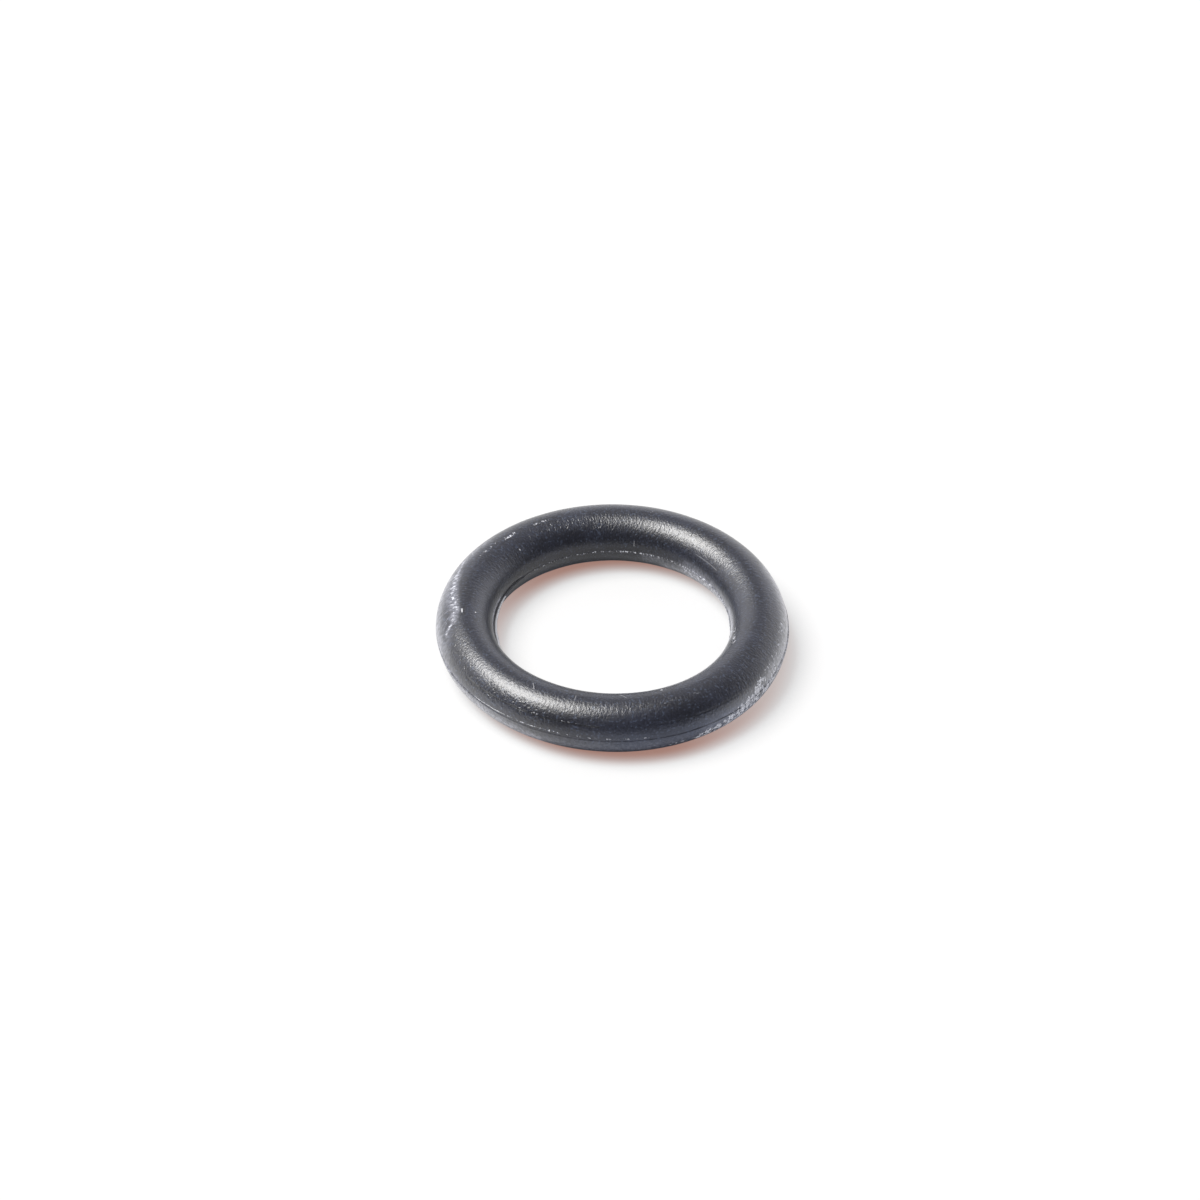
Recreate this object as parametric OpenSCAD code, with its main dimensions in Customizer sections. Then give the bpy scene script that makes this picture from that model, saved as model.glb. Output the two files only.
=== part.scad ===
// Rubber o-ring, moulded in one piece, lying flat.
// A round cord section is swept into a ring by a mould in two halves. The halves meet
// at mid height, where a thin ridge of flash runs round the inside and the outside.
// Origin: on the ring's axis at the level it lies on. +Z is the ring's axis. Millimetres.

/* [Ring] */
// Inside diameter between the crowns of the section
inside_d = 10.77; // [4:0.01:60]
// Diameter of the round cord section
section_d = 2.62; // [1.5:0.01:7]

/* [Parting line] */
// How far the flash ridge stands out of the section, inside and outside
flash_h = 0.06; // [0.06:0.01:0.12]
// Thickness of the flash ridge along the axis
flash_t = 0.08; // [0.04:0.01:0.2]
// Sideways shift of the lower mould half, towards +X
half_shift = 0.05; // [0:0.01:0.05]

/* [Trimming] */
// Angle at which the trimmed stretch of the inner ridge starts, from +X
trim_start = 48; // [0:1:180]
// Angle that the trimmed stretch spans
trim_span = 82; // [10:1:85]
// Height of the stub that the trimming leaves
trim_stub = 0.02; // [0.01:0.01:0.05]

/* [Hidden] */
$fn = 128;
section_r = section_d / 2;
ring_r = inside_d / 2 + section_r;
inner_crest_r = ring_r - section_r - flash_h;
outer_crest_r = ring_r + section_r + flash_h;
inner_stub_r = ring_r - section_r - trim_stub;
mid_z = section_r;
rubber = [0.17, 0.18, 0.20];

// One half of the section, swept round the axis: side is 1 above the parting plane, -1 below it
module mould_half(side) {
    rotate_extrude()
        translate([ring_r, 0])
            intersection() {
                circle(r = section_r);
                translate([-section_r, side > 0 ? 0 : -section_r])
                    square([2 * section_r, section_r]);
            }
}

// The flash that the two halves squeeze out between them, as a thin disc with a hole
module flash() {
    difference() {
        translate([0, 0, -flash_t / 2])
            cylinder(r = outer_crest_r, h = flash_t);
        translate([0, 0, -flash_t])
            cylinder(r = inner_crest_r, h = 2 * flash_t);
        trimmed_away();
    }
}

// What the trimming takes off the inner ridge, down to a stub
module trimmed_away() {
    rotate_extrude(angle = trim_span, start = trim_start)
        translate([inner_crest_r - flash_h, -flash_t])
            square([inner_stub_r - inner_crest_r + flash_h, 2 * flash_t]);
}

module o_ring() {
    color(rubber)
        translate([0, 0, mid_z])
            union() {
                mould_half(1);
                translate([half_shift, 0, 0])
                    mould_half(-1);
                flash();
            }
}

o_ring();
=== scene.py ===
"""Dresses the moulded rubber o-ring.

One skin is spun round the ring's axis and carries everything that the moulding and the handling
left on the rubber: the crease and the flash lip along the parting line, the trimmed stretch and the
loose flap inside, the grain across the cord, the scuffed patches, the dust, the fine scratches and
the specks. Some marks are painted light and shade instead: painted shine along the parting lines,
a painted highlight on the rim and the loose flap inside on the left, painted sheen where the rubber
mirrors the lit floor, and painted shade in the gap, the grooves, the pits and beside a crumb.
Lengths are in millimetres in the classes and in metres in Blender.
"""
from __future__ import annotations

import logging
import math
from dataclasses import dataclass, field
from enum import Enum

import bmesh
import bpy
from mathutils import Matrix, Vector, noise

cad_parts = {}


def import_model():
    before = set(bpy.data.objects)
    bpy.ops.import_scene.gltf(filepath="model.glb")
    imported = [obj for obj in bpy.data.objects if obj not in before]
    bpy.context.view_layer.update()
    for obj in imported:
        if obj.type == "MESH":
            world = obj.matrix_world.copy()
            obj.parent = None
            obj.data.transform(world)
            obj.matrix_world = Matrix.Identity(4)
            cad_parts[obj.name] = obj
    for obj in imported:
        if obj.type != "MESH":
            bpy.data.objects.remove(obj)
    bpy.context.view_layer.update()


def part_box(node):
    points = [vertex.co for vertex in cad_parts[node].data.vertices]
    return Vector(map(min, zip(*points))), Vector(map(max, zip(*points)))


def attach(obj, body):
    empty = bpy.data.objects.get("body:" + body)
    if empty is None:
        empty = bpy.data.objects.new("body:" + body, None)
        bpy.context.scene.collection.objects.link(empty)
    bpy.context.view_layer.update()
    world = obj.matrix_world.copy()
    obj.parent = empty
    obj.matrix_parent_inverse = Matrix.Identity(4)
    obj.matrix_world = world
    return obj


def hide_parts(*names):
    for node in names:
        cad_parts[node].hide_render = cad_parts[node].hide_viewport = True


LOG = logging.getLogger("o_ring")
MM = 0.001
TURN = 2.0 * math.pi
DEGREE = math.radians(1.0)
TINY = 1e-9

Colour = tuple[float, float, float]
Row = tuple[float, float, float]
Socket = bpy.types.NodeSocket
Stops = tuple[tuple[float, float], tuple[float, float]]

WHITE: Colour = (1.0, 1.0, 1.0)


def smooth(low: float, high: float, x: float) -> float:
    """Eases from 0 to 1 as x goes from low to high.

    Args:
        low: Where the ease starts.
        high: Where it ends.
        x: The value.

    Returns:
        The eased share.
    """
    t = min(1.0, max(0.0, (x - low) / (high - low)))
    return t * t * (3.0 - 2.0 * t)


def turn_gap(a: float, b: float) -> float:
    """Signed gap from b to a on a circle, in degrees, from -180 to 180."""
    return (a - b + 180.0) % 360.0 - 180.0


class Mark(Enum):
    """What handling left on the rubber, and the light and shade painted along with it."""

    # scuffs, and painted shine along the parting lines
    SCUFF_AND_SHINE = "scuff_and_shine"
    # dust, and painted sheen where the rubber mirrors the lit floor or the rim catches light
    DUST_AND_SHEEN = "dust_and_sheen"
    # crumbs and fine scratches, and painted highlights on the parting line, the rim and the flap
    GLINT = "glint"
    # painted shade in grooves and creases and beside a crumb, each also sunk into the rubber
    DARK = "shaded_groove"
    PITTED = "pitted"


@dataclass(frozen=True)
class Wear:
    """A mark drawn along a path on the ring.

    Attributes:
        kind: What sort of mark it is.
        path: Points as (angle round the ring, angle round the cord), in degrees.
        width: Half width across the path, in millimetres.
        strength: How strong the mark is, from 0 to 1.
    """

    kind: Mark
    path: tuple[tuple[float, float], ...]
    width: float
    strength: float = 1.0


@dataclass(frozen=True)
class Stretch:
    """A stretch round the ring that eases in and out, as four angles in degrees.

    It eases in from start to full and fades out from fading to end.
    """

    start: float
    full: float
    fading: float
    end: float

    def share(self, phi: float) -> float:
        """How much of the stretch there is at an angle, from 0 to 1."""
        return smooth(self.start, self.full, phi) * (1.0 - smooth(self.fading, self.end, phi))


@dataclass(frozen=True)
class RingSizes:
    """The ring's sizes, as moulded, in millimetres.

    Attributes:
        inside_d: Diameter of the hole.
        section_d: Diameter of the cord.
        flash_h: Height of the flash lip over the cord.
        half_shift: How far the lower mould half stands to the right.
        ovals: Two waves and three waves round the ring, each as a cosine and a sine part.
        drawn_in: How far the cord's centre line lies inside the nominal one.
        trimmed: Where the inner lip was trimmed off.
        trim_stub: Height of what the trimming left.
    """

    inside_d: float = 10.77
    section_d: float = 2.62
    flash_h: float = 0.06
    half_shift: float = 0.03
    ovals: tuple[float, float, float, float] = (0.040, 0.004, -0.024, -0.008)
    drawn_in: float = 0.006
    trimmed: Stretch = Stretch(47.0, 49.0, 139.4, 140.6)
    trim_stub: float = 0.012

    @property
    def section_r(self) -> float:
        """Radius of the cord section."""
        return self.section_d / 2.0

    @property
    def ring_r(self) -> float:
        """Radius of the cord's centre line."""
        return self.inside_d / 2.0 + self.section_r

    @property
    def reach(self) -> float:
        """Largest radius that anything on the ring may have."""
        return self.ring_r + self.section_r + self.flash_h

    def out_of_round(self, phi: float) -> float:
        """How far the cord's centre line stands out from a true circle.

        Args:
            phi: Angle round the ring, in radians.

        Returns:
            The distance, in millimetres.
        """
        c2, s2, c3, s3 = self.ovals
        wave = c2 * math.cos(2 * phi) + s2 * math.sin(2 * phi)
        return wave + c3 * math.cos(3 * phi) + s3 * math.sin(3 * phi) - self.drawn_in


WEAR: tuple[Wear, ...] = (
    # the bent scuff on the left shoulder and the dust round it
    Wear(Mark.DUST_AND_SHEEN, ((163.0, 57.0), (170.0, 60.5), (177.5, 67.5), (183.5, 71.5), (188.0, 65.5)),
         0.17, 0.52),
    Wear(Mark.DUST_AND_SHEEN, ((184.0, 73.0), (188.5, 66.5), (191.0, 56.0), (193.2, 41.0)), 0.075, 0.50),
    Wear(Mark.DUST_AND_SHEEN, ((187.0, 72.0), (190.5, 66.0)), 0.08, 0.35),
    Wear(Mark.DUST_AND_SHEEN, ((152.5, 44.0), (158.5, 53.5), (164.0, 57.5)), 0.05, 0.85),
    Wear(Mark.DUST_AND_SHEEN, ((182.0, 66.0), (174.0, 52.0), (162.0, 40.0)), 0.22, 0.28),
    Wear(Mark.SCUFF_AND_SHINE, ((164.0, 57.0), (170.0, 59.0), (176.5, 66.0), (183.5, 71.0)), 0.15, 0.46),
    Wear(Mark.SCUFF_AND_SHINE, ((184.0, 71.0), (188.5, 65.0), (191.0, 55.0), (193.0, 42.0)), 0.07, 0.44),
    Wear(Mark.DUST_AND_SHEEN, ((183.2, 47.0), (183.0, 61.0)), 0.028, 0.40),
    Wear(Mark.DUST_AND_SHEEN, ((188.0, 42.0), (186.6, 54.0)), 0.030, 0.38),
    Wear(Mark.DUST_AND_SHEEN, ((190.6, 36.0), (188.6, 47.0)), 0.030, 0.30),
    Wear(Mark.DUST_AND_SHEEN, ((194.0, 42.0), (198.0, 26.0), (206.0, 0.0)), 0.26, 0.16),
    # painted sheen where the rubber mirrors the lit floor: down the left outer wall, low on the left
    # and along the front
    Wear(Mark.DUST_AND_SHEEN, ((164.0, 32.0), (178.0, 16.0), (196.0, 4.0)), 0.45, 0.45),
    Wear(Mark.DUST_AND_SHEEN, ((202.0, -8.0), (224.0, -22.0), (244.0, -32.0)), 0.40, 0.52),
    Wear(Mark.DUST_AND_SHEEN, ((246.0, -24.0), (268.0, -24.0), (300.0, -26.0)), 0.40, 0.16),
    # more dust on the left shoulder
    Wear(Mark.DUST_AND_SHEEN, ((142.0, 56.0), (153.0, 50.0), (167.0, 45.0)), 0.22, 0.24),
    # the pebbled shoulder under the left highlight, and pits at the back, with painted shade in the
    # pits
    Wear(Mark.PITTED, ((199.0, 58.0), (212.0, 44.0), (226.0, 38.0), (246.0, 36.0)), 0.32, 0.66),
    Wear(Mark.PITTED, ((191.0, 44.0), (203.0, 31.0), (220.0, 22.0)), 0.30, 0.38),
    Wear(Mark.PITTED, ((92.0, 122.0), (112.0, 118.0), (126.0, 112.0)), 0.36, 0.5),
    # the abraded patch along the front right
    Wear(Mark.SCUFF_AND_SHINE, ((288.0, -26.0), (296.0, -24.0), (305.0, -20.0)), 0.06, 0.40),
    Wear(Mark.SCUFF_AND_SHINE, ((301.0, -27.0), (310.0, -16.0), (318.0, -4.0), (325.0, 8.0), (329.0, 17.0)),
         0.25, 1.0),
    Wear(Mark.SCUFF_AND_SHINE, ((308.0, -30.0), (320.0, -18.0), (332.0, -6.0), (337.0, 6.0)), 0.26, 0.85),
    Wear(Mark.SCUFF_AND_SHINE, ((328.0, 24.0), (336.0, 30.0), (345.0, 37.0), (355.0, 40.0)), 0.12, 0.26),
    Wear(Mark.SCUFF_AND_SHINE, ((334.0, 8.0), (344.0, 14.0), (354.0, 20.0)), 0.12, 0.24),
    Wear(Mark.DUST_AND_SHEEN, ((302.0, -26.0), (320.0, -10.0), (334.0, 6.0)), 0.45, 0.34),
    Wear(Mark.DUST_AND_SHEEN, ((304.0, -38.0), (320.0, -26.0), (336.0, -10.0)), 0.26, 0.44),
    # a pale band along the outer wall on the right
    Wear(Mark.DUST_AND_SHEEN, ((334.0, 0.0), (348.0, 7.0), (4.0, 17.0), (22.0, 28.0)), 0.50, 0.64),
    # inside on the right: painted sheen where the rubber mirrors the lit floor, and a scuff
    Wear(Mark.DUST_AND_SHEEN, ((8.0, 197.0), (30.0, 198.0), (50.0, 196.0)), 0.46, 0.70),
    Wear(Mark.DUST_AND_SHEEN, ((50.0, 205.0), (64.0, 207.0)), 0.22, 0.35),
    Wear(Mark.DUST_AND_SHEEN, ((346.0, 160.0), (358.0, 168.0), (10.0, 175.0)), 0.20, 0.72),
    Wear(Mark.DUST_AND_SHEEN, ((50.0, 194.0), (74.0, 192.0)), 0.24, 0.22),
    Wear(Mark.SCUFF_AND_SHINE, ((14.0, 200.0), (34.0, 197.0), (52.0, 193.0)), 0.26, 0.42),
    # inside on the left: painted shade in the gap, and a painted highlight on the rim over it and on
    # the loose flap
    Wear(Mark.DARK, ((142.5, 179.3), (202.0, 179.2)), 0.024, 1.0),
    Wear(Mark.GLINT, ((158.0, 182.2), (206.0, 182.0)), 0.030, 1.0),
    Wear(Mark.GLINT, ((142.0, 176.3), (168.0, 176.0)), 0.018, 0.50),
    Wear(Mark.DUST_AND_SHEEN, ((162.0, 174.6), (176.0, 171.0), (200.0, 168.5)), 0.090, 0.80),
    # two small dusty patches on the back's crown
    Wear(Mark.SCUFF_AND_SHINE, ((117.0, 88.5), (124.0, 87.0)), 0.04, 0.45),
    Wear(Mark.SCUFF_AND_SHINE, ((133.0, 86.0), (138.5, 87.5)), 0.05, 0.85),
    Wear(Mark.SCUFF_AND_SHINE, ((140.0, 84.0), (152.0, 78.0)), 0.04, 0.3),
    # the granular patch on the inside right
    Wear(Mark.SCUFF_AND_SHINE, ((338.0, 128.0), (344.0, 137.0), (350.0, 143.0)), 0.09, 0.75),
    # specks: a crumb with painted shade beside it, and small pale specks
    Wear(Mark.GLINT, ((184.0, 84.2), (185.9, 83.5)), 0.034, 1.0),
    Wear(Mark.DARK, ((183.0, 88.6), (186.6, 88.0), (187.8, 84.0)), 0.045, 0.9),
    Wear(Mark.DARK, ((184.6, 79.8), (187.2, 80.0)), 0.030, 0.8),
    Wear(Mark.GLINT, ((185.6, 110.8), (185.6, 112.2)), 0.04, 0.9),
    Wear(Mark.GLINT, ((137.0, 124.2), (137.0, 126.2)), 0.04, 0.9),
    Wear(Mark.GLINT, ((291.0, 112.0), (291.6, 114.0)), 0.045, 0.8),
    # fine scratches
    Wear(Mark.GLINT, ((33.0, 142.5), (44.0, 142.2), (52.0, 141.0), (62.0, 140.5)), 0.030, 0.45),
    Wear(Mark.GLINT, ((237.5, 94.0), (238.8, 87.0), (239.4, 81.5)), 0.035, 0.55),
    Wear(Mark.GLINT, ((256.0, 96.0), (256.0, 82.0)), 0.03, 0.5),
    Wear(Mark.GLINT, ((273.6, 112.0), (275.0, 106.0), (276.0, 98.0)), 0.035, 0.5),
    Wear(Mark.GLINT, ((290.4, 97.0), (290.8, 89.0)), 0.03, 0.4),
    Wear(Mark.GLINT, ((289.0, 69.0), (290.5, 73.0), (293.0, 74.0)), 0.032, 0.45),
    Wear(Mark.GLINT, ((301.5, 75.0), (303.5, 70.0)), 0.032, 0.45),
    Wear(Mark.GLINT, ((151.5, 60.0), (149.0, 48.0)), 0.035, 0.6),
    Wear(Mark.GLINT, ((155.0, 58.0), (152.0, 46.0)), 0.03, 0.5),
    Wear(Mark.GLINT, ((75.6, 87.0), (74.8, 76.0)), 0.035, 0.45),
    Wear(Mark.GLINT, ((80.0, 168.0), (80.0, 156.0)), 0.04, 0.5),
    # painted shine along the parting line outside, under the fine line above it and on the inner edge;
    # the dark lines are painted shade in their grooves
    Wear(Mark.SCUFF_AND_SHINE, ((216.0, 4.6), (232.0, 6.6), (250.0, 7.3)), 0.018, 0.75),
    Wear(Mark.SCUFF_AND_SHINE, ((250.0, 7.3), (284.0, 7.0)), 0.016, 0.42),
    Wear(Mark.GLINT, ((221.0, 5.2), (229.0, 6.2), (233.0, 6.6)), 0.018, 0.65),
    Wear(Mark.GLINT, ((242.0, 7.2), (247.0, 7.3)), 0.016, 0.5),
    Wear(Mark.SCUFF_AND_SHINE, ((236.0, 35.0), (246.0, 35.2), (262.0, 34.5)), 0.016, 0.30),
    Wear(Mark.DARK, ((214.0, 28.0), (236.0, 32.0), (254.0, 32.0), (266.0, 31.5)), 0.030, 1.0),
    Wear(Mark.DARK, ((222.0, 1.5), (250.0, 3.2), (262.0, 3.8)), 0.03, 0.12),
    Wear(Mark.DARK, ((262.0, 3.8), (282.0, 4.0)), 0.03, 0.14),
    Wear(Mark.DARK, ((282.0, 4.0), (312.0, 2.5)), 0.030, 0.6),
    Wear(Mark.DARK, ((286.0, 31.5), (318.0, 31.5)), 0.035, 0.45),
    Wear(Mark.SCUFF_AND_SHINE, ((14.0, 182.0), (45.0, 182.0), (90.0, 182.0)), 0.05, 0.46),
    Wear(Mark.SCUFF_AND_SHINE, ((90.0, 182.0), (138.0, 182.0)), 0.04, 0.32),
)


@dataclass
class WearMap:
    """Reads how strong each kind of mark is at a place on the ring.

    The margin is how far a mark may reach beyond its path, in degrees round the ring, and far_off a
    distance in millimetres that none reaches. A mark fades between two distances off its path, in
    half widths: crisp for most kinds and soft for dust and painted sheen.
    """

    sizes: RingSizes
    marks: tuple[Wear, ...] = WEAR
    margin: float = 6.0
    far_off: float = 9.0
    crisp: tuple[float, float] = (0.55, 1.6)
    soft: tuple[float, float] = (0.05, 1.95)

    def _distance(self, mark: Wear, phi: float, t: float) -> float:
        """Distance from a place to a mark's path, in millimetres.

        Args:
            mark: The mark.
            phi: Angle round the ring, in degrees.
            t: Angle round the cord, in degrees.

        Returns:
            The distance along the surface.
        """
        s = self.sizes
        around = DEGREE * (s.ring_r + s.section_r * math.cos(math.radians(t)))
        across = DEGREE * s.section_r
        best = self.far_off
        for (p0, t0), (p1, t1) in zip(mark.path, mark.path[1:]):
            ax, ay = turn_gap(phi, p0) * around, turn_gap(t, t0) * across
            bx, by = turn_gap(p1, p0) * around, turn_gap(t1, t0) * across
            share = max(0.0, min(1.0, (ax * bx + ay * by) / max(TINY, bx * bx + by * by)))
            best = min(best, math.hypot(ax - share * bx, ay - share * by))
        return best

    def near(self, phi: float) -> list[Wear]:
        """Picks the marks that may reach an angle round the ring.

        Args:
            phi: The angle, in degrees.

        Returns:
            The marks.
        """
        picked = []
        for mark in self.marks:
            around = [turn_gap(p, phi) for p, _ in mark.path]
            if min(around) - self.margin <= 0.0 <= max(around) + self.margin:
                picked.append(mark)
        return picked

    def at(self, marks: list[Wear], phi: float, t: float) -> dict[Mark, float]:
        """Strength of each kind of mark at a place.

        Args:
            marks: The marks near it.
            phi: Angle round the ring, in degrees.
            t: Angle round the cord, in degrees.

        Returns:
            A strength from 0 to 1 for each kind.
        """
        found = {kind: 0.0 for kind in Mark}
        for mark in marks:
            fade = self.soft if mark.kind is Mark.DUST_AND_SHEEN else self.crisp
            edge = self._distance(mark, phi, t) / mark.width
            if edge < fade[1]:
                worth = mark.strength * (1.0 - smooth(*fade, edge))
                found[mark.kind] = max(found[mark.kind], worth)
        return found


@dataclass(frozen=True)
class Relief:
    """How far the marks stand out of the rubber or sink into it, in millimetres.

    A pitch is in waves in a millimetre.
    """

    # the small unevenness all over
    wave: float = 0.004
    wave_pitch: float = 0.9
    # a scuff: its grain, and how much it took off
    torn: float = 0.014
    torn_away: float = 0.004
    torn_pitch: tuple[float, float] = (5.5, 3.6)
    # a glint from this strength is a crumb, under it a scratch with a share of that height
    crumb: float = 0.012
    crumb_from: float = 0.8
    scratch_share: float = 0.3
    # a dark line, with breaks in it: mean share of its depth, and how far that swings
    groove: float = 0.020
    groove_pitch: float = 1.7
    groove_mean: float = 0.5
    groove_swing: float = 1.4

    def at(self, place: Vector, found: dict[Mark, float]) -> float:
        """How far the rubber stands out at a place.

        Args:
            place: The place, in millimetres, with the way round the cord as its height.
            found: The marks there.

        Returns:
            The height, below zero where the rubber is sunk.
        """
        out = self.wave * noise.noise(place * self.wave_pitch)
        along, across = self.torn_pitch
        grain = noise.noise(Vector((place.x * along, place.y * along, place.z * across)))
        out += found[Mark.SCUFF_AND_SHINE] * (self.torn * grain - self.torn_away)
        glint = found[Mark.GLINT]
        out += self.crumb * glint * (1.0 if glint > self.crumb_from else self.scratch_share)
        breaks = Vector((place.x * self.groove_pitch, place.y * self.groove_pitch, place.z))
        open_share = self.groove_mean + self.groove_swing * noise.noise(breaks)
        return out - self.groove * found[Mark.DARK] * min(1.0, max(0.0, open_share))


@dataclass
class RingSkin:
    """The ring's outer surface, spun from one cord section.

    A row of the section is its angle round the cord in degrees, its share of the lip and its
    share of the crease. Where a value is given twice, the outside comes first, then the inside.
    """

    sizes: RingSizes = field(default_factory=RingSizes)
    relief: Relief = field(default_factory=Relief)
    # steps round the ring, the equal wedges it is made from, and the rows on each plain arc
    columns: int = 720
    wedges: int = 8
    arc_points: int = 57
    outer_seam: tuple[Row, ...] = (
        (-3.2, 0.0, 0.0), (-2.1, 0.85, 0.0), (-1.1, 1.0, 0.0), (0.1, 1.0, 0.0), (1.1, 0.85, 0.0),
        (1.8, 0.0, 0.6), (2.7, 0.0, 1.0), (3.7, 0.0, 0.35), (4.8, 0.0, 0.0),
    )
    # counted back from its middle
    inner_seam: tuple[Row, ...] = (
        (-3.4, 0.0, 0.0), (-2.2, 0.75, 0.0), (-1.3, 1.0, 0.0), (-0.5, 1.0, 0.0), (0.2, 0.74, 0.0),
        (0.8, 0.46, 0.0), (1.3, 0.2, 0.1), (1.8, 0.0, 0.6), (2.6, 0.0, 1.0), (3.6, 0.0, 0.6),
        (4.8, 0.0, 0.0),
    )
    inner_middle: float = 181.5
    # rows for the broken shine above the outer parting line, then the first row, the step and the
    # number of the rows for the fine line above that, and the rows between them
    shine_rows: tuple[float, ...] = (5.6, 6.4, 7.2, 8.0)
    line_rows: tuple[float, float, int] = (27.5, 1.4, 8)
    between_rows: int = 5
    # the lip: mean share of its height, waves and shares that vary it, and its layer of the noise
    lip_mean: float = 0.75
    lip_waves: tuple[tuple[float, float], ...] = ((9.0, 0.35), (41.0, 0.25))
    lip_layer: tuple[float, float] = (0.0, 3.0)
    # where the outer lip is worn down, and where the inner one stands up as a loose flap
    worn_lip: Stretch = Stretch(205.0, 222.0, 308.0, 328.0)
    worn_share: float = 0.78
    flap: Stretch = Stretch(144.0, 180.0, 190.0, 212.0)
    flap_height: float = 0.105
    # the crease: mean share of its depth, how far and how fast that swings, its layer of the noise
    crease_mean: tuple[float, float] = (0.8, 0.9)
    crease_swing: tuple[float, float] = (0.5, 0.25)
    crease_waves: float = 13.0
    crease_layer: tuple[float, float] = (5.0, 7.0)
    # where the crease opens into a gap, and how much deeper that is
    gap: tuple[Stretch, Stretch] = (
        Stretch(186.0, 196.0, 222.0, 240.0), Stretch(141.0, 147.0, 198.0, 214.0))
    crease_depth: tuple[float, float] = (0.009, 0.003)
    gap_depth: tuple[float, float] = (0.020, 0.070)
    # the lower half's shift: over which sine it comes in, and the share that the lip takes
    half_edge: tuple[float, float] = (-0.02, 0.03)
    lip_shift: float = 0.5
    # in metres
    merge_within: float = 1e-7

    def _section(self) -> list[Row]:
        """The section's rows, from the outside up and over.

        Returns:
            One row for each point.
        """

        def spread(first: float, last: float, count: int) -> list[Row]:
            """Plain rows evenly between two angles."""
            step = (last - first) / (count + 1)
            return [(first + step * (i + 1), 0.0, 0.0) for i in range(count)]

        start, step, count = self.line_rows
        line = [(start + step * i, 0.0, 0.0) for i in range(count)]
        shine = [(t, 0.0, 0.0) for t in self.shine_rows]
        upper = shine + spread(shine[-1][0], line[0][0], self.between_rows) + line
        inner = [(self.inner_middle - t, lip, crease) for t, lip, crease in reversed(self.inner_seam)]
        upper += spread(line[-1][0], inner[0][0], self.arc_points - len(upper))
        lower = spread(inner[-1][0], 360.0 + self.outer_seam[0][0], self.arc_points)
        return list(self.outer_seam) + upper + inner + lower

    def _lip(self, phi: float, inner: bool) -> float:
        """Height of the flash lip at an angle round the ring, in millimetres.

        Args:
            phi: Angle in degrees.
            inner: Whether it is the lip inside the ring.

        Returns:
            The height over the section.
        """
        s = self.sizes
        a = math.radians(phi)
        place = Vector((math.cos(a), math.sin(a), self.lip_layer[inner]))
        ragged = self.lip_mean
        for waves, share in self.lip_waves:
            ragged += share * noise.noise(place * waves)
        height = s.flash_h * min(1.0, ragged)
        if not inner:
            return height * (1.0 - self.worn_share * self.worn_lip.share(phi))
        height += self.flap_height * self.flap.share(phi)
        return height + (s.trim_stub - height) * s.trimmed.share(phi)

    def _crease(self, phi: float, inner: bool) -> float:
        """Depth of the crease beside the lip at an angle round the ring, in millimetres.

        Args:
            phi: Angle in degrees.
            inner: Whether it is the crease inside the ring.

        Returns:
            The depth under the section.
        """
        a = math.radians(phi)
        place = Vector((math.cos(a), math.sin(a), self.crease_layer[inner]))
        swing = self.crease_swing[inner] * noise.noise(place * self.crease_waves)
        depth = self.crease_depth[inner] + self.gap_depth[inner] * self.gap[inner].share(phi)
        return depth * (self.crease_mean[inner] + swing)

    def _lay_section(self, bm: bmesh.types.BMesh, section: list[Row]) -> None:
        """Lays a circle and puts its points on the section's rows.

        Args:
            bm: The mesh.
            section: The section's rows.
        """
        s = self.sizes
        row_of = bm.verts.layers.int["row"]
        upright = Matrix.Rotation(math.pi / 2, 4, "X")
        turn = Matrix.Translation((s.ring_r * MM, 0.0, s.section_r * MM)) @ upright
        bmesh.ops.create_circle(bm, segments=len(section), radius=s.section_r * MM, matrix=turn)
        first = max(bm.verts, key=lambda v: v.co.x)
        ordered = [first]
        ahead = max((e.other_vert(first) for e in first.link_edges), key=lambda v: v.co.z)
        while ahead is not first:
            last = ordered[-1]
            ordered.append(ahead)
            beside = [e.other_vert(ahead) for e in ahead.link_edges]
            ahead = next(v for v in beside if v is not last)
        for row, vert in enumerate(ordered):
            vert[row_of] = row
            t = math.radians(section[row][0])
            flat, up = s.ring_r + s.section_r * math.cos(t), s.section_r * (1.0 + math.sin(t))
            vert.co = Vector((flat, 0.0, up)) * MM

    def _spin(self, bm: bmesh.types.BMesh) -> None:
        """Spins the section into one wedge and repeats the wedge round the axis.

        Args:
            bm: The mesh, with the section in it.
        """
        centre = (0.0, 0.0, 0.0)
        bmesh.ops.spin(bm, geom=bm.verts[:] + bm.edges[:], cent=centre, axis=(0.0, 0.0, 1.0),
                       angle=TURN / self.wedges, steps=self.columns // self.wedges, use_merge=False)
        wedge = bm.verts[:] + bm.edges[:] + bm.faces[:]
        for count in range(1, self.wedges):
            copied = bmesh.ops.duplicate(bm, geom=wedge)
            points = [part for part in copied["geom"] if isinstance(part, bmesh.types.BMVert)]
            turned = Matrix.Rotation(TURN * count / self.wedges, 3, "Z")
            bmesh.ops.rotate(bm, cent=centre, matrix=turned, verts=points)
        bmesh.ops.remove_doubles(bm, verts=bm.verts[:], dist=self.merge_within)

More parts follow.
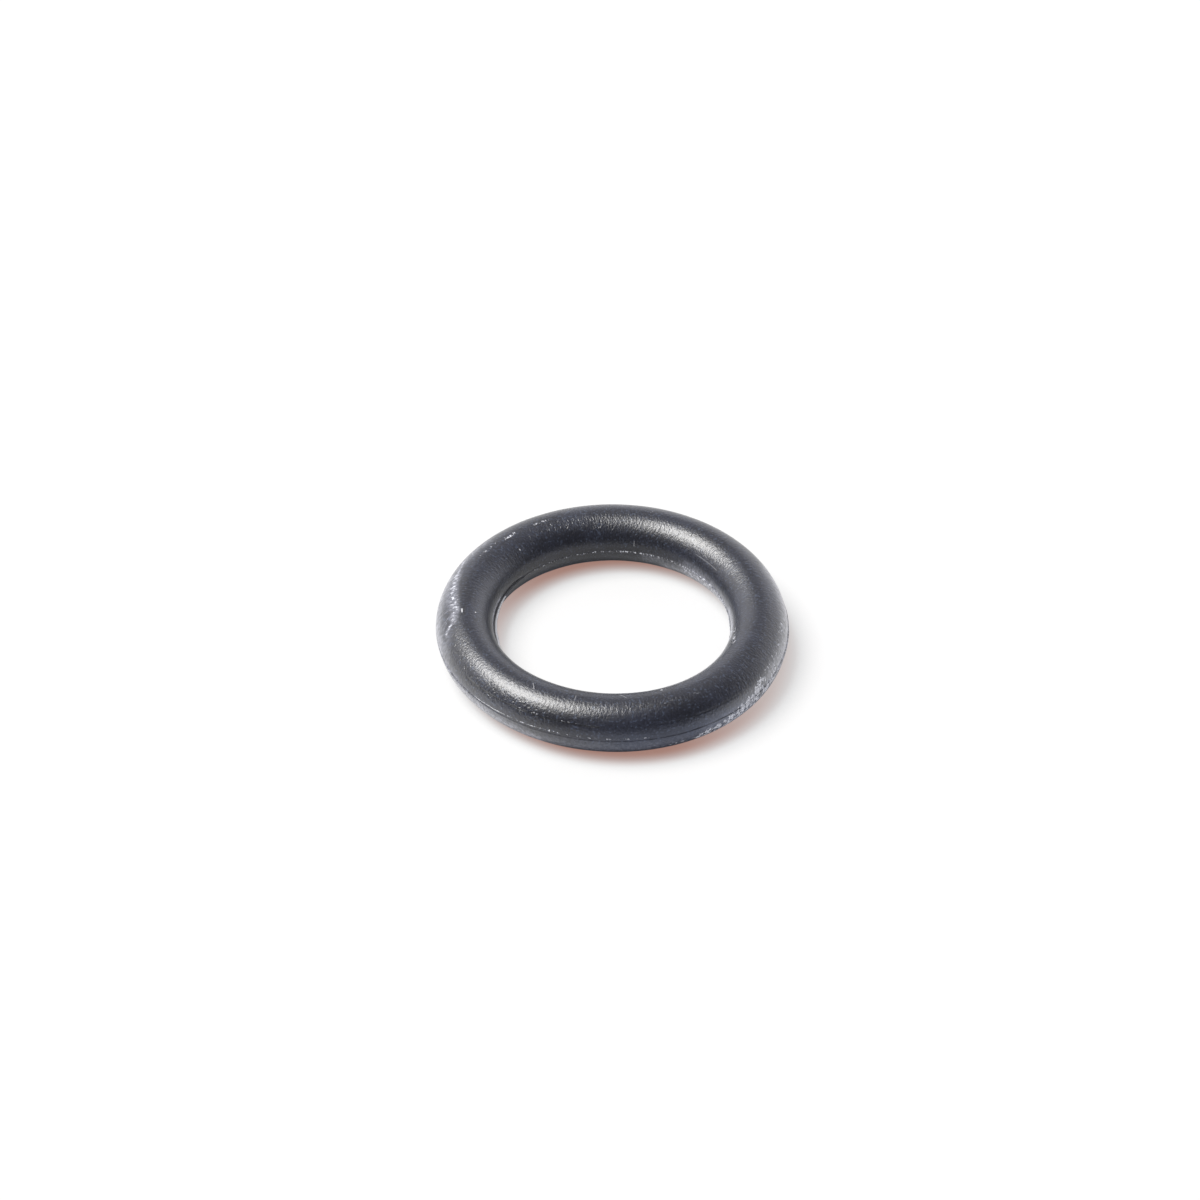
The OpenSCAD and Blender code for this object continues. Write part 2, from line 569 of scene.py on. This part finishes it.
    def _moved(self, phi: float, t: float, out: float, on_lip: bool) -> Vector:
        """Where a point of the skin goes.

        Args:
            phi: Angle round the ring, in radians.
            t: Angle round the cord, in radians.
            out: Distance from the cord's centre line, in millimetres.
            on_lip: Whether the point is on the lip.

        Returns:
            The place, in millimetres.
        """
        s = self.sizes
        radius = s.ring_r + s.out_of_round(phi) + out * math.cos(t)
        below = 1.0 - smooth(*self.half_edge, math.sin(t))
        shift = s.half_shift * below * (self.lip_shift if on_lip else 1.0)
        height = s.section_r + out * math.sin(t)
        moved = Vector((radius * math.cos(phi) + shift, radius * math.sin(phi), height))
        flat = math.hypot(moved.x, moved.y)
        if flat > s.reach:
            moved.x, moved.y = moved.x * s.reach / flat, moved.y * s.reach / flat
        return moved

    def _press(self, bm: bmesh.types.BMesh, section: list[Row]) -> None:
        """Moves the spun points to the lip, the crease and the relief, and marks the wear.

        Args:
            bm: The spun ring.
            section: The section's rows.
        """
        s = self.sizes
        wear = WearMap(s)
        row_of = bm.verts.layers.int["row"]
        layers = {kind: bm.verts.layers.float[kind.value] for kind in Mark}
        low, high = (Vector(corner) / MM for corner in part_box("o_ring"))
        angles = [360.0 * column / self.columns for column in range(self.columns)]
        near = [wear.near(angle) for angle in angles]
        lips = [(self._lip(angle, False), self._lip(angle, True)) for angle in angles]
        creases = [(self._crease(angle, False), self._crease(angle, True)) for angle in angles]
        for vert in bm.verts:
            phi = math.atan2(vert.co.y, vert.co.x)
            degrees = math.degrees(phi) % 360.0
            column = round(degrees / 360.0 * self.columns) % self.columns
            t_deg, lip, crease = section[vert[row_of]]
            inner = 90.0 < t_deg < 270.0
            found = wear.at(near[column], degrees, (t_deg + 90.0) % 360.0 - 90.0)
            for kind, strength in found.items():
                vert[layers[kind]] = strength
            t = math.radians(t_deg)
            place = Vector((math.cos(phi) * s.ring_r, math.sin(phi) * s.ring_r, t * s.section_r))
            out = s.section_r + lip * lips[column][inner] - crease * creases[column][inner]
            out += self.relief.at(place, found)
            moved = self._moved(phi, t, out, lip > 0.0)
            vert.co = Vector(min(high[k], max(low[k], moved[k])) for k in range(3)) * MM

    def build(self) -> bpy.types.Object:
        """Spins the section into the ring and presses its details into it.

        Returns:
            The ring's object, with its wear as attributes.
        """
        section = self._section()
        bm = bmesh.new()
        bm.verts.layers.int.new("row")
        for kind in Mark:
            bm.verts.layers.float.new(kind.value)
        self._lay_section(bm, section)
        self._spin(bm)
        self._press(bm, section)
        bmesh.ops.recalc_face_normals(bm, faces=bm.faces[:])
        for face in bm.faces:
            face.smooth = True
        mesh = bpy.data.meshes.new("o_ring_skin")
        bm.to_mesh(mesh)
        bm.free()
        ring = bpy.data.objects.new("o_ring_skin", mesh)
        bpy.context.collection.objects.link(ring)
        return ring


@dataclass
class Web:
    """A node tree with short words for what the finishes use."""

    tree: bpy.types.NodeTree

    def node(self, kind: str, **inputs: object) -> bpy.types.Node:
        """Adds a node and sets or links its inputs by name.

        Args:
            kind: The node's type.
            **inputs: Values or sockets.

        Returns:
            The node.
        """
        made = self.tree.nodes.new(kind)
        for name, value in inputs.items():
            self.put(value, made.inputs[name])
        return made

    def put(self, value: object, socket: Socket) -> None:
        """Links a socket, or sets a plain value.

        Args:
            value: The value or the socket that it comes from.
            socket: Where it goes.
        """
        if isinstance(value, Socket):
            self.tree.links.new(value, socket)
        elif isinstance(value, tuple) and socket.type == "RGBA":
            socket.default_value = (*value, 1.0)
        else:
            socket.default_value = value

    def math(self, operation: str, a: object, b: object = 0.0) -> Socket:
        """Adds a sum.

        Args:
            operation: The Math node's operation.
            a: First value or socket.
            b: Second value or socket.

        Returns:
            The result's socket.
        """
        made = self.tree.nodes.new("ShaderNodeMath")
        made.operation = operation
        self.put(a, made.inputs[0])
        self.put(b, made.inputs[1])
        return made.outputs[0]

    def product(self, first: object, *others: object) -> Socket:
        """Multiplies values, the first with each of the others in turn.

        Args:
            first: First value or socket.
            *others: The other values or sockets.

        Returns:
            The product's socket.
        """
        result = first
        for other in others:
            result = self.math("MULTIPLY", result, other)
        return result

    def length(self, x: Socket, y: Socket) -> Socket:
        """Length of a flat arrow with the parts x and y."""
        return self.math("SQRT", self.math("ADD", self.product(x, x), self.product(y, y)))

    def noise(self, vector: Socket, detail: float, rough: float) -> Socket:
        """Adds a noise texture.

        Args:
            vector: Its coordinates, in waves.
            detail: Its octaves.
            rough: Their roughness.

        Returns:
            The noise's factor.
        """
        made = self.node("ShaderNodeTexNoise", Vector=vector, Scale=1.0, Detail=detail,
                         Roughness=rough)
        return made.outputs["Fac"]

    def attribute(self, mark: Mark) -> Socket:
        """Reads how strong a mark is.

        Args:
            mark: The mark, which the mesh carries as an attribute.

        Returns:
            The strength's socket.
        """
        made = self.tree.nodes.new("ShaderNodeAttribute")
        made.attribute_name = mark.value
        return made.outputs["Fac"]

    def ramp(self, value: Socket, stops: Stops) -> Socket:
        """Eases a value from one stop to another.

        Args:
            value: The value.
            stops: Two stops, each a value and what it becomes.

        Returns:
            The eased value.
        """
        made = self.tree.nodes.new("ShaderNodeMapRange")
        made.interpolation_type = "SMOOTHSTEP"
        (a, at_a), (b, at_b) = stops
        self.put(value, made.inputs["Value"])
        for name, number in (("From Min", a), ("From Max", b), ("To Min", at_a), ("To Max", at_b)):
            made.inputs[name].default_value = number
        return made.outputs["Result"]

    def mix(self, share: object, a: object, b: object) -> Socket:
        """Mixes two colours.

        Args:
            share: How much of the second.
            a: First colour.
            b: Second colour.

        Returns:
            The mixed colour.
        """
        made = self.tree.nodes.new("ShaderNodeMix")
        made.data_type = "RGBA"
        for socket, value in zip(("Factor_Float", "A_Color", "B_Color"), (share, a, b)):
            self.put(value, next(put for put in made.inputs if put.identifier == socket))
        return next(put for put in made.outputs if put.identifier == "Result_Color")

    def bump(self, height: Socket, depth: float, normal: Socket | None = None) -> Socket:
        """Adds a bump.

        Args:
            height: Its height.
            depth: The height that 1 stands for, in millimetres.
            normal: The normal that it starts from.

        Returns:
            The bumped normal.
        """
        made = self.node("ShaderNodeBump", Height=height, Strength=1.0, Distance=depth * MM)
        if normal is not None:
            self.put(normal, made.inputs["Normal"])
        return made.outputs["Normal"]


@dataclass(frozen=True)
class Grain:
    """A noise that runs round the ring and round its cord without a seam.

    Attributes:
        along: Waves in a millimetre round the ring.
        across: Waves in a millimetre round the cord.
        detail: Finer octaves on top.
        rough: How strong those are.
    """

    along: float
    across: float
    detail: float = 1.0
    rough: float = 0.5


@dataclass
class RingWrap:
    """The way round the ring and round its cord, as a material reads it.

    Attributes:
        web: The material's nodes.
        sizes: The ring's sizes.
        around: The direction away from the ring's axis, as its two parts.
        cord: The angle round the cord.
    """

    web: Web
    sizes: RingSizes
    around: tuple[Socket, Socket] = field(init=False)
    cord: Socket = field(init=False)

    def __post_init__(self) -> None:
        """Works out the direction and the angle from the place on the object."""
        web, s = self.web, self.sizes
        place = web.node("ShaderNodeTexCoord").outputs["Object"]
        x, y, z = web.node("ShaderNodeSeparateXYZ", Vector=place).outputs
        radius = web.length(x, y)
        self.around = (web.math("DIVIDE", x, radius), web.math("DIVIDE", y, radius))
        height = web.math("SUBTRACT", z, s.section_r * MM)
        self.cord = web.math("ARCTAN2", height, web.math("SUBTRACT", radius, s.ring_r * MM))

    def grain(self, grain: Grain) -> Socket:
        """Lays a grain on the ring.

        Args:
            grain: The grain.

        Returns:
            Its noise.
        """
        web, s = self.web, self.sizes
        x, y = (web.product(part, s.ring_r * grain.along) for part in self.around)
        z = web.product(self.cord, s.section_r * grain.across)
        joined = web.node("ShaderNodeCombineXYZ", X=x, Y=y, Z=z)
        return web.noise(joined.outputs["Vector"], grain.detail, grain.rough)


@dataclass(frozen=True)
class RubberFinish:
    """Satin black moulded rubber with grain across the cord.

    The film is the thin wax that rubber sweats out. Stops are pairs of a value and what it
    becomes. Depths are in millimetres.
    """

    # the clean rubber, its faint bloom, the finest specks, thick dust and painted sheen, abraded
    # rubber and painted shine, a fresh scratch or crumb and painted highlights, and painted shade in a
    # pit or a groove
    deep: Colour = (0.011, 0.012, 0.021)
    dusty: Colour = (0.023, 0.027, 0.048)
    speck: Colour = (0.10, 0.13, 0.20)
    haze_and_sheen: Colour = (0.52, 0.53, 0.62)
    scuffed_and_shine: Colour = (0.88, 0.90, 0.98)
    bright: Colour = (0.88, 0.89, 0.93)
    groove_and_pit_shade: Colour = (0.006, 0.006, 0.008)
    groove_and_pit_shade_share: float = 0.9
    # of the smoothest rubber, and how much the fine grain and the wear add
    roughness: float = 0.33
    fine_roughness: float = 0.10
    worn_roughness: float = 0.3
    specular: float = 1.0
    film: float = 1.0
    film_roughness: float = 0.36
    film_ior: float = 1.6
    streaks: Grain = Grain(8.2, 3.8)
    fine: Grain = Grain(13.0, 10.0)
    broad: Grain = Grain(0.55, 0.9, detail=3.0)
    pebbles: Grain = Grain(6.8, 4.6)
    speckle: Grain = Grain(10.0, 10.0, detail=0.0)
    # grains of the dust and the scuffs
    granules: Grain = Grain(7.6, 4.6, detail=2.0, rough=0.7)
    bloom_stops: Stops = ((0.40, 0.0), (0.62, 1.0))
    speck_stops: Stops = ((0.62, 0.0), (0.76, 0.45))
    haze_and_sheen_stops: Stops = ((0.34, 0.40), (0.66, 1.60))
    pit_stops: Stops = ((0.56, 0.0), (0.68, 1.0))
    # height from which granules show in a faint scuff, and how much lower it is in a full one
    scuff_level: float = 0.61
    scuff_drop: float = 0.20
    torn_stops: Stops = ((0.0, 0.0), (0.065, 1.0))
    scuff_stops: Stops = ((0.02, 0.0), (0.25, 1.0))
    crumb_stops: Stops = ((0.36, 0.35), (0.60, 1.0))
    glint_stops: Stops = ((0.25, 0.0), (0.8, 1.0))
    streak_depth: float = 0.014
    fine_depth: float = 0.012
    worn_depth: float = 0.020
    pit_depth: float = 0.018

    def build(self, sizes: RingSizes) -> bpy.types.Material:
        """Makes the material.

        Args:
            sizes: The ring's sizes, which set the grain's scale.

        Returns:
            The material.
        """
        material = bpy.data.materials.new("moulded_rubber")
        material.use_nodes = True
        web = Web(material.node_tree)
        shader = material.node_tree.nodes["Principled BSDF"]
        shader.inputs["Specular IOR Level"].default_value = self.specular
        shader.inputs["Coat Weight"].default_value = self.film
        shader.inputs["Coat Roughness"].default_value = self.film_roughness
        shader.inputs["Coat IOR"].default_value = self.film_ior

        wrap = RingWrap(web, sizes)
        fine, granules = wrap.grain(self.fine), wrap.grain(self.granules)
        pebbles = web.ramp(wrap.grain(self.pebbles), self.pit_stops)
        pits = web.product(web.attribute(Mark.PITTED), pebbles)
        scuff_and_shine = web.attribute(Mark.SCUFF_AND_SHINE)
        level = web.math("SUBTRACT", self.scuff_level, web.product(scuff_and_shine, self.scuff_drop))
        torn = web.ramp(web.math("SUBTRACT", granules, level), self.torn_stops)
        worn = web.product(torn, web.ramp(scuff_and_shine, self.scuff_stops))

        half_broad, half_fine = web.product(wrap.grain(self.broad), 0.5), web.product(fine, 0.5)
        bloom = web.ramp(web.math("ADD", half_broad, half_fine), self.bloom_stops)
        colour = web.mix(bloom, self.deep, self.dusty)
        specks = web.ramp(wrap.grain(self.speckle), self.speck_stops)
        colour = web.mix(specks, colour, self.speck)
        # dust, and painted sheen where the rubber mirrors the lit floor or the rim catches light
        dust_and_sheen = web.product(web.attribute(Mark.DUST_AND_SHEEN), web.ramp(granules, self.haze_and_sheen_stops))
        colour = web.mix(dust_and_sheen, colour, self.haze_and_sheen)
        # crumbs of abraded rubber, and painted shine along the parting lines
        crumbs = web.product(worn, web.ramp(fine, self.crumb_stops))
        colour = web.mix(crumbs, colour, self.scuffed_and_shine)
        # crumbs and scratches, and painted highlights on the parting line, the rim and the flap
        glints = web.ramp(web.attribute(Mark.GLINT), self.glint_stops)
        colour = web.mix(glints, colour, self.bright)
        # painted shade in the grooves, beside a crumb and in the pits
        shaded = web.math("MAXIMUM", web.attribute(Mark.DARK), pits)
        colour = web.mix(web.product(shaded, self.groove_and_pit_shade_share), colour, self.groove_and_pit_shade)
        web.put(colour, shader.inputs["Base Color"])

        rough = web.math("ADD", self.roughness, web.product(fine, self.fine_roughness))
        rough = web.math("ADD", rough, web.product(worn, self.worn_roughness))
        web.put(rough, shader.inputs["Roughness"])

        bump = web.bump(wrap.grain(self.streaks), self.streak_depth)
        bump = web.bump(fine, self.fine_depth, bump)
        bump = web.bump(worn, self.worn_depth, bump)
        bump = web.bump(web.math("SUBTRACT", 1.0, pits), self.pit_depth, bump)
        web.put(bump, shader.inputs["Normal"])
        web.put(bump, shader.inputs["Coat Normal"])
        return material


@dataclass
class Camera:
    """The photograph's camera: a long lens, looking down on the ring from the front.

    Angles are in degrees, lengths in millimetres and the clip in metres. The centre is where the
    ring's own centre lies, in pixels right of and above the middle of the frame.
    """

    elevation: float = 40.80
    distance: float = 260.28821
    focal_px: float = 5698.8
    frame_px: float = 1200.0
    centre_px: tuple[float, float] = (12.47, -25.77)
    roll: float = -0.82
    sensor: float = 36.0
    clip: tuple[float, float] = (0.01, 10.0)

    def build(self, sizes: RingSizes) -> None:
        """Places the camera.

        Args:
            sizes: The ring's sizes.
        """
        data = bpy.data.cameras.new("camera")
        data.sensor_width = self.sensor
        data.lens = self.focal_px / self.frame_px * data.sensor_width
        data.clip_start, data.clip_end = self.clip
        cam = bpy.data.objects.new("camera", data)
        bpy.context.collection.objects.link(cam)
        e, r = math.radians(self.elevation), math.radians(self.roll)
        back = Vector((0.0, -math.cos(e), math.sin(e)))
        side, top = Vector((1.0, 0.0, 0.0)), Vector((0.0, math.sin(e), math.cos(e)))
        right = side * math.cos(r) - top * math.sin(r)
        up = side * math.sin(r) + top * math.cos(r)
        across, above = (offset / self.focal_px for offset in self.centre_px)
        away = (back + right * across + up * above).normalized()
        right = (right - away * right.dot(away)).normalized()
        up = away.cross(right)
        turn = Matrix((right, up, away)).transposed().to_4x4()
        centre = Vector((0.0, 0.0, sizes.section_r * MM))
        cam.matrix_world = Matrix.Translation(centre + back * self.distance * MM) @ turn
        bpy.context.scene.camera = cam
        LOG.info("camera: %.1f degrees above the horizon", self.elevation)


@dataclass(frozen=True)
class FloorPlace:
    """A place on the floor, as sockets, in millimetres.

    x and y are counted from the ring's axis, the radius from the middle of the contact shadow, and
    off from the circle under the cord. The rest are x and y as shares of that radius.
    """

    x: Socket
    y: Socket
    radius: Socket
    off: Socket
    rightward: Socket
    backward: Socket
    endways: Socket


@dataclass
class Floor:
    """A pale matt floor that keeps the ring's shadow.

    It gives off a little light that only the camera and the rubber's reflections see. The shade of
    the ring near its contact, and at the back of the hole as the rubber mirrors it, is painted into
    its tint and its glow. Stops are pairs of a value and what it becomes. Their values are lengths in
    millimetres, or a distance to the right or the back as a share of the radius.
    """

    # in metres
    half_width: float = 2.0
    # of the contact shadow, to the right of and behind the ring's axis
    middle: tuple[float, float] = (0.60, -0.12)
    glow: float = 0.58
    plain: Colour = (0.40, 0.40, 0.40)
    # in the soft light that it throws back
    soft_white: Colour = (0.85, 0.85, 0.85)
    # painted shadow: the tint and the glow in the contact shadow, and there as the rubber mirrors it
    contact_tint: Colour = (0.40, 0.24, 0.20)
    contact_glow: Colour = (0.60, 0.35, 0.29)
    under_tint: Colour = (0.24, 0.25, 0.30)
    under_glow: Colour = (0.38, 0.39, 0.45)
    # as the rubber mirrors it: a painted bluish tint in front on the right, and painted shade at the
    # back of the hole
    front_tint: Colour = (0.31, 0.34, 0.43)
    front_glow: Colour = (0.76, 0.84, 1.08)
    behind_tint: Colour = (0.12, 0.12, 0.12)
    # the painted contact shadow: off the ring, weaker at the sides, weaker on the right
    contact_reach: Stops = ((0.40, 1.0), (1.45, 0.0))
    contact_ends: Stops = ((0.2, 0.5), (0.95, 1.0))
    contact_right: Stops = ((0.3, 1.0), (0.9, 0.7))
    # the front on the right
    front_bearing: Stops = ((-0.90, 1.0), (-0.30, 0.0))
    front_right: Stops = ((-0.45, 0.0), (0.20, 1.0))
    # painted shade in the mirrored floor: less of its own light is mirrored close to the ring and
    # right in front
    near_ring: Stops = ((0.6, 0.30), (1.7, 1.0))
    near_front: Stops = ((-0.98, 0.2), (-0.6, 1.0))
    # less in the hole, but not in its front or on its right
    hole_edge: Stops = ((5.9, 1.0), (6.3, 0.0))
    hole_depth: Stops = ((4.3, 0.85), (6.0, 0.35))
    hole_back: Stops = ((0.0, 0.0), (0.6, 1.0))
    hole_middle: Stops = ((2.6, 1.0), (4.4, 0.0))
    hole_right: Stops = ((1.0, 1.0), (3.5, 0.2))
    # less far off, but not at the sides
    far_reach: Stops = ((10.0, 0.0), (16.0, 0.4))
    far_ends: Stops = ((0.45, 0.0), (0.85, 1.0))
    # the painted dark back of the hole
    behind_bearing: Stops = ((0.70, 0.0), (0.98, 1.0))
    behind_reach: Stops = ((0.3, 0.0), (2.2, 0.85))

    def _place(self, web: Web, sizes: RingSizes) -> FloorPlace:
        """Works out where on the floor a ray lands.

        Args:
            web: The floor's nodes.
            sizes: The ring's sizes.

        Returns:
            The place.
        """
        place = web.node("ShaderNodeTexCoord").outputs["Object"]
        parts = web.node("ShaderNodeSeparateXYZ", Vector=place).outputs
        x, y = (web.math("DIVIDE", part, MM) for part in (parts["X"], parts["Y"]))
        right, behind = (web.math("SUBTRACT", part, mid) for part, mid in zip((x, y), self.middle))
        radius = web.length(right, behind)
        off = web.math("ABSOLUTE", web.math("SUBTRACT", radius, sizes.ring_r))
        rightward, backward = web.math("DIVIDE", x, radius), web.math("DIVIDE", y, radius)
        return FloorPlace(x, y, radius, off, rightward, backward, web.math("ABSOLUTE", backward))

    def _mirrored(self, web: Web, at: FloorPlace) -> Socket:
        """How much of the floor's own light the rubber mirrors from a place.

        Args:
            web: The floor's nodes.
            at: The place.

        Returns:
            The share, from 0 to 1.
        """
        back = web.ramp(at.backward, self.hole_back)
        middle = web.ramp(at.radius, self.hole_middle)
        hole = web.product(web.ramp(at.radius, self.hole_edge), web.ramp(at.radius, self.hole_depth),
                           web.math("MAXIMUM", back, middle), web.ramp(at.x, self.hole_right))
        far = web.product(web.ramp(at.radius, self.far_reach), web.ramp(at.endways, self.far_ends))
        near = web.product(web.ramp(at.off, self.near_ring), web.ramp(at.backward, self.near_front))
        return web.product(near, web.math("SUBTRACT", 1.0, hole), web.math("SUBTRACT", 1.0, far))

    def _material(self, sizes: RingSizes) -> bpy.types.Material:
        """Makes the floor's material.

        Args:
            sizes: The ring's sizes.

        Returns:
            The material.
        """
        material = bpy.data.materials.new("pale_floor")
        material.use_nodes = True
        material.node_tree.nodes.clear()
        web = Web(material.node_tree)
        at = self._place(web, sizes)
        rays = web.node("ShaderNodeLightPath").outputs
        glossy = rays["Is Glossy Ray"]

        # painted shadow near the contact, a painted bluish tint in front, painted shade at the back of
        # the hole
        contact = web.product(web.ramp(at.off, self.contact_reach),
                              web.ramp(at.endways, self.contact_ends),
                              web.ramp(at.rightward, self.contact_right))
        front = web.product(glossy, web.ramp(at.backward, self.front_bearing),
                            web.ramp(at.rightward, self.front_right))
        behind = web.product(glossy, web.ramp(at.backward, self.behind_bearing),
                             web.ramp(at.y, self.behind_reach), web.ramp(at.radius, self.hole_edge))

        open_glow = web.mix(front, WHITE, self.front_glow)
        shadow_glow = web.mix(glossy, self.contact_glow, self.under_glow)
        seen = web.math("MAXIMUM", rays["Is Camera Ray"], web.product(glossy, self._mirrored(web, at)))
        lit = web.node("ShaderNodeEmission", Color=web.mix(contact, open_glow, shadow_glow),
                       Strength=web.product(seen, self.glow))

        open_tint = web.mix(front, self.plain, self.front_tint)
        shadow_tint = web.mix(glossy, self.contact_tint, self.under_tint)
        tint = web.mix(behind, web.mix(contact, open_tint, shadow_tint), self.behind_tint)
        tint = web.mix(rays["Is Diffuse Ray"], tint, self.soft_white)
        matt = web.node("ShaderNodeBsdfDiffuse", Color=tint)

        both = web.node("ShaderNodeAddShader")
        web.put(matt.outputs[0], both.inputs[0])
        web.put(lit.outputs[0], both.inputs[1])
        web.node("ShaderNodeOutputMaterial", Surface=both.outputs[0])
        return material

    def build(self, sizes: RingSizes) -> None:
        """Makes the floor.

        Args:
            sizes: The ring's sizes.
        """
        bm = bmesh.new()
        bmesh.ops.create_grid(bm, x_segments=1, y_segments=1, size=self.half_width)
        mesh = bpy.data.meshes.new("floor")
        bm.to_mesh(mesh)
        bm.free()
        floor = bpy.data.objects.new("floor", mesh)
        bpy.context.collection.objects.link(floor)
        mesh.materials.append(self._material(sizes))
        LOG.info("floor: %.1f m wide", 2.0 * self.half_width)


@dataclass
class Lamp:
    """One soft lamp, high on the left, a little warm.

    Lengths are in metres, and the light is what it gives on the floor, as a share of plain white.
    """

    toward: tuple[float, float, float] = (-0.474, 0.066, 0.878)
    far: float = 0.5
    width: float = 0.33
    light: float = 0.90
    colour: Colour = (1.0, 0.988, 0.968)

    def build(self) -> None:
        """Makes the lamp."""
        data = bpy.data.lights.new("soft_lamp", "AREA")
        data.shape = "DISK"
        data.size = self.width
        data.color = self.colour
        toward = Vector(self.toward).normalized()
        data.energy = self.light * math.pi ** 2 * self.far ** 2 / toward.z
        lamp = bpy.data.objects.new("soft_lamp", data)
        lamp.location = toward * self.far
        lamp.rotation_mode = "QUATERNION"
        lamp.rotation_quaternion = toward.to_track_quat("Z", "Y")
        bpy.context.collection.objects.link(lamp)
        LOG.info("lamp: %.2f m wide, %.2f m away", self.width, self.far)


@dataclass(frozen=True)
class SoftWindow:
    """A soft window in the surrounding.

    Its bearing is in degrees from the right towards the back. It starts at its reach, which is the
    cosine of the angle to its middle.
    """

    bearing: float
    reach: float
    strength: float


@dataclass
class Surrounding:
    """A dim surrounding with two soft windows behind the ring.

    The fill is the dim part as soft light. The windows lean up, or down below zero.
    """

    dim: Colour = (0.045, 0.047, 0.060)
    fill: Colour = (0.24, 0.24, 0.25)
    bright: Colour = (1.0, 1.0, 1.05)
    left: SoftWindow = SoftWindow(140.0, 0.35, 0.75)
    right: SoftWindow = SoftWindow(45.0, 0.45, 0.85)
    lean: float = -0.03

    def _share(self, web: Web, direction: bpy.types.Node, window: SoftWindow) -> Socket:
        """How much of a window lies in a direction.

        Args:
            web: The surrounding's nodes.
            direction: The direction, split into its three parts.
            window: The window.

        Returns:
            The window's share of the bright colour.
        """
        a = math.radians(window.bearing)
        parts = direction.outputs
        x, y = web.product(parts["X"], math.cos(a)), web.product(parts["Y"], math.sin(a))
        flat = web.math("ADD", x, y)
        facing = web.math("ADD", flat, web.product(parts["Z"], self.lean))
        return web.product(web.ramp(facing, ((window.reach, 0.0), (1.0, 1.0))), window.strength)

    def build(self) -> None:
        """Makes the surrounding, which the camera itself sees as plain white."""
        world = bpy.data.worlds.new("surrounding")
        bpy.context.scene.world = world
        world.use_nodes = True
        world.node_tree.nodes.clear()
        web = Web(world.node_tree)
        place = web.node("ShaderNodeTexCoord").outputs["Generated"]
        direction = web.node("ShaderNodeSeparateXYZ", Vector=place)
        left, right = (self._share(web, direction, window) for window in (self.left, self.right))
        rays = web.node("ShaderNodeLightPath").outputs
        plain = web.mix(rays["Is Diffuse Ray"], self.dim, self.fill)
        colour = web.mix(web.math("ADD", left, right), plain, self.bright)
        soft = web.node("ShaderNodeBackground", Color=colour, Strength=1.0)
        white = web.node("ShaderNodeBackground", Color=WHITE, Strength=1.0)
        pick = web.node("ShaderNodeMixShader", Fac=rays["Is Camera Ray"])
        web.put(soft.outputs[0], pick.inputs[1])
        web.put(white.outputs[0], pick.inputs[2])
        web.node("ShaderNodeOutputWorld", Surface=pick.outputs[0])
        LOG.info("surrounding: two soft windows behind the ring")


def main() -> None:
    """Builds the scene: camera, floor, light, then the ring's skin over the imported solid."""
    logging.basicConfig(level=logging.INFO, format="%(message)s")
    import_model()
    bpy.context.scene.view_settings.view_transform = "Standard"
    sizes = RingSizes()
    Camera().build(sizes)
    Floor().build(sizes)
    Lamp().build()
    Surrounding().build()
    ring = RingSkin(sizes).build()
    ring.data.materials.append(RubberFinish().build(sizes))
    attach(ring, "root")
    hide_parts("o_ring")
    LOG.info("ring skin: %d points, %d faces", len(ring.data.vertices), len(ring.data.polygons))


if __name__ == "__main__":
    main()
